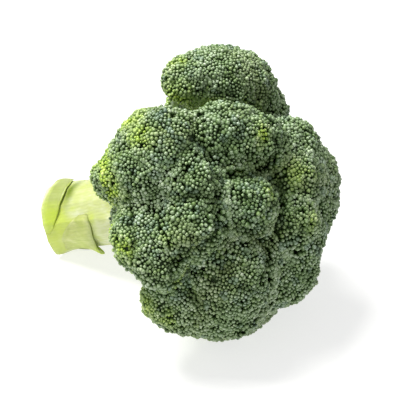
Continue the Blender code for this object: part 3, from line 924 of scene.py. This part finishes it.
def bud_colours(points, homes, cluster, sink):
    """Three numbers a bud: tone, yellowness, blueness. Tone is the cluster's own and the bud's own, less some
    painted shade where the bud is sunk deeper, in a furrow or at a dome's edge; yellow grows towards a lobe's
    lower rim and in a few patches; blue belongs to whole clusters."""
    dice = np.random.default_rng(23)
    tilt = np.arccos(np.clip((unit(points - lobe_centre[homes]) * lobe_facing[homes]).sum(1), -1, 1))
    outer = lobe_table[homes, 2] < 140
    x, y, z = points.T
    patch = np.sin(x / 7.3 + 1.1) + np.sin(y / 6.1 - 0.6) + np.sin(z / 5.7 + 2.2)
    patch += 0.8 * np.sin((x - y) / 4.1)
    rim = smooth_step(math.radians(66), math.radians(104), tilt) * outer
    yellow = rim * (0.30 + 0.70 * smooth_step(-0.8, 1.6, patch)) + 0.35 * smooth_step(2.5, 3.4, patch)
    yellow += 1.1 * near_places(points, YELLOW_PLACES)
    yellow = yellow * (0.45 + 0.9 * cluster_hue[cluster]) + dice.normal(0, 0.06, len(points))
    yellow = np.clip(yellow, 0, 1)
    blue = 0.7 * smooth_step(0.80, 0.92, cluster_hue[cluster])
    blue += 1.2 * near_places(points, BLUE_PLACES) * smooth_step(0.2, 0.6, cluster_hue[cluster])
    blue = np.clip(blue, 0, 1) * (1 - 0.8 * yellow)
    tone = 0.5 + 0.09 * cluster_tone[cluster] + dice.normal(0, 0.12, len(points))
    # Buds sunk deeper are darker: painted shade in the furrows and between the domes.
    tone = np.clip(tone - 0.16 * (sink - sink.mean()), 0, 1)
    return tone, yellow, blue


def bud_finish():
    """Grey-green sepals with a bloom, lighter towards the tip and darker at the base, which is painted shade
    for the gaps between neighbours, shifted to yellow-green or blue-green. The looks are a bud's tone,
    yellowness, blueness and the way to its tip."""
    finish = Finish("buds")
    tone, yellow, blue, tip = finish.looks()
    everywhere = finish.place((1, 1, 1))
    speckle = finish.noise(everywhere, 1600, 2.0, 0.6)
    drift = finish.noise(everywhere, 38, 2.0, 0.5)
    ageing = finish.noise(everywhere, 27, 1.0, 0.5)
    mixed = finish.maths("ADD", finish.maths("MULTIPLY", speckle, 0.3), finish.maths("MULTIPLY", tone, 0.7))
    greens = (
        (0.12, srgb(66, 88, 44)), (0.40, srgb(122, 145, 99)),
        (0.62, srgb(158, 177, 144)), (0.90, srgb(210, 221, 200)),
    )
    youngs = (0.15, srgb(118, 150, 36)), (0.5, srgb(164, 192, 64)), (0.9, srgb(208, 222, 112))
    blooms = (0.15, srgb(68, 90, 74)), (0.5, srgb(110, 134, 114)), (0.9, srgb(168, 186, 168))
    # The way to its tip darkens each bud towards its base: painted shade for the gaps between buds.
    depths = (
        (0.0, (0.06, 0.11, 0.03)), (0.35, (0.14, 0.22, 0.08)), (0.60, (0.40, 0.50, 0.30)), (0.95, (1, 1, 1)),
    )
    green = finish.ramp(mixed, greens)
    green = finish.mix(finish.greys(drift, (0.35, 0), (0.7, 0.4)), green, srgb(104, 138, 82))
    green = finish.mix(finish.greys(ageing, (0.50, 0), (0.72, 0.32)), green, srgb(144, 150, 94))
    colour = finish.mix(blue, green, finish.ramp(mixed, blooms))
    colour = finish.mix(yellow, colour, finish.ramp(mixed, youngs))
    colour = finish.mix(1.0, colour, finish.ramp(tip, depths), "MULTIPLY")
    finish.surface(colour, finish.greys(speckle, (0.3, 0.36), (0.7, 0.54)))
    finish.bump(speckle, 0.25, 0.0002)
    return finish.material


def make_buds(points, ways, radii, homes, colours, material):
    """Each bud is its section turned about the way it points. The radius takes a wave of four round the bud,
    and so does the height near the tip, for its four sepals, which meet in a low point."""
    dice = np.random.default_rng(24)
    turn = np.arange(BUD_SIDES) * 2 * math.pi / BUD_SIDES
    heights, girths = BUD_SECTION[:, 0], BUD_SECTION[:, 1]
    fold = np.cos(4 * turn)
    girth = girths[:, None] * (1 + 0.12 * np.clip(heights, 0, 1)[:, None] * fold + 0.04 * fold)
    rise = heights[:, None] + 0.06 * np.clip(heights, 0, 1)[:, None] * fold
    unit_rings = np.stack((girth * np.cos(turn), girth * np.sin(turn), rise), axis=-1).reshape(-1, 3)
    unit_bud = np.concatenate(([(0, 0, -1.1)], unit_rings, [(0, 0, BUD_TIP)]))
    # How far towards its tip each point is, which the finish darkens towards the base as painted shade.
    tips = np.concatenate(((0.0,), np.repeat((0.0, 0.35, 0.60, 1.0), BUD_SIDES), (0.85,)))
    shape = closed_faces(len(BUD_SECTION), BUD_SIDES)
    guide = unit(np.cross(ways, unit(dice.normal(size=ways.shape))))
    other = np.cross(ways, guide)
    length = radii * dice.uniform(1.08, 1.3, len(radii))
    for floret, name in enumerate(FLORETS):
        mine = np.flatnonzero(lobe_floret[homes] == floret)
        sizes = radii[mine, None, None]
        buds = points[mine, None] + sizes * (
            unit_bud[None, :, :1] * guide[mine, None] + unit_bud[None, :, 1:2] * other[mine, None]
        ) + length[mine, None, None] * unit_bud[None, :, 2:] * ways[mine, None]
        looks = np.empty((len(mine), len(unit_bud), 4))
        looks[..., :3] = np.stack(colours, axis=-1)[mine, None]
        looks[..., 3] = tips
        buds, looks = buds.reshape(-1, 3), looks.reshape(-1, 4)
        faces = many_faces(len(mine), len(unit_bud), *shape)
        piece = make_piece(name + "_buds", buds, *faces, material, "buds", looks)
        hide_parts(name)


bud_points, bud_ways, bud_radii, bud_homes, bud_cluster, bud_sink = grow_buds()
tone_yellow_blue = bud_colours(bud_points, bud_homes, bud_cluster, bud_sink)
make_buds(bud_points, bud_ways, bud_radii, bud_homes, tone_yellow_blue, bud_finish())


# ---------------------------------------------------------------------------------------------------------
# The studio: a plain pale floor, a broad soft lamp over the head, a weaker one in front, and a white room
# around them. The camera looks down at the crown from its upper front, with the stalk towards the left.

CROWN_HEIGHT = 124.0  # along the stalk, the middle of the crown
AIM_LEFT, AIM_DOWN = 11.2, 1.8  # from the crown's middle to where the camera points, in mm
CAMERA_AWAY = 0.65
CAMERA_AZIMUTH = math.radians(37.3)
CAMERA_ELEVATION = math.radians(28.95)
LENS = 115.8
crown_middle = Vector(to_row(place(0, 0, CROWN_HEIGHT)))


def view_axes(azimuth, elevation):
    """The view's right, up and towards the camera, from its azimuth and elevation."""
    back = Vector((
        math.sin(azimuth) * math.cos(elevation), -math.cos(azimuth) * math.cos(elevation), math.sin(elevation)
    ))
    right = Vector((math.cos(azimuth), math.sin(azimuth), 0))
    return right, back.cross(right), back


def make_camera():
    right, up, back = view_axes(CAMERA_AZIMUTH, CAMERA_ELEVATION)
    aim = crown_middle - AIM_LEFT * MM * right - AIM_DOWN * MM * up
    data = bpy.data.cameras.new("camera")
    data.lens = LENS
    data.sensor_width = 36
    data.clip_start = 0.01
    camera = bpy.data.objects.new("camera", data)
    camera.location = aim + CAMERA_AWAY * back
    camera.rotation_euler = back.to_track_quat("Z", "Y").to_euler()
    bpy.context.scene.collection.objects.link(camera)
    bpy.context.scene.camera = camera


def make_lamp(name, towards, distance, size, watts, colour):
    """A square soft lamp in a direction from the crown, facing it."""
    data = bpy.data.lights.new(name, "AREA")
    data.size = size
    data.energy = watts
    data.color = colour
    lamp = bpy.data.objects.new(name, data)
    towards = Vector(towards).normalized()
    lamp.location = crown_middle + distance * towards
    lamp.rotation_euler = towards.to_track_quat("Z", "Y").to_euler()
    bpy.context.scene.collection.objects.link(lamp)


def make_floor():
    """One flat square of floor, with a hint of mottling in its pale paint."""
    half = 2.0
    corners = [(-half, -half, 0), (half, -half, 0), (half, half, 0), (-half, half, 0)]
    mesh = bpy.data.meshes.new("floor")
    mesh.from_pydata(corners, [], [(0, 1, 2, 3)])
    finish = Finish("floor_paint")
    mottling = finish.noise(finish.place((1, 1, 1)), 3, 2.0, 0.5)
    finish.link(finish.greys(mottling, (0.3, 0.42), (0.7, 0.45)), finish.shader.inputs["Base Color"])
    finish.shader.inputs["Roughness"].default_value = 0.9
    finish.shader.inputs["Emission Color"].default_value = (1, 1, 1, 1)
    finish.shader.inputs["Emission Strength"].default_value = 0.70
    mesh.materials.append(finish.material)
    floor = bpy.data.objects.new("floor", mesh)
    bpy.context.scene.collection.objects.link(floor)


make_camera()
make_floor()
make_lamp("key", (-0.36, -0.15, 0.92), 0.9, 0.45, 15.2, (1.0, 0.99, 0.96))
make_lamp("front", (0.2, -1.2, 0.7), 1.1, 0.9, 1.6, (0.98, 0.99, 1.0))
world = bpy.data.worlds.new("white room")
world.use_nodes = True
world.node_tree.nodes["Background"].inputs["Color"].default_value = (1, 1, 1, 1)
world.node_tree.nodes["Background"].inputs["Strength"].default_value = 0.34
bpy.context.scene.world = world
bpy.context.scene.view_settings.view_transform = "Standard"
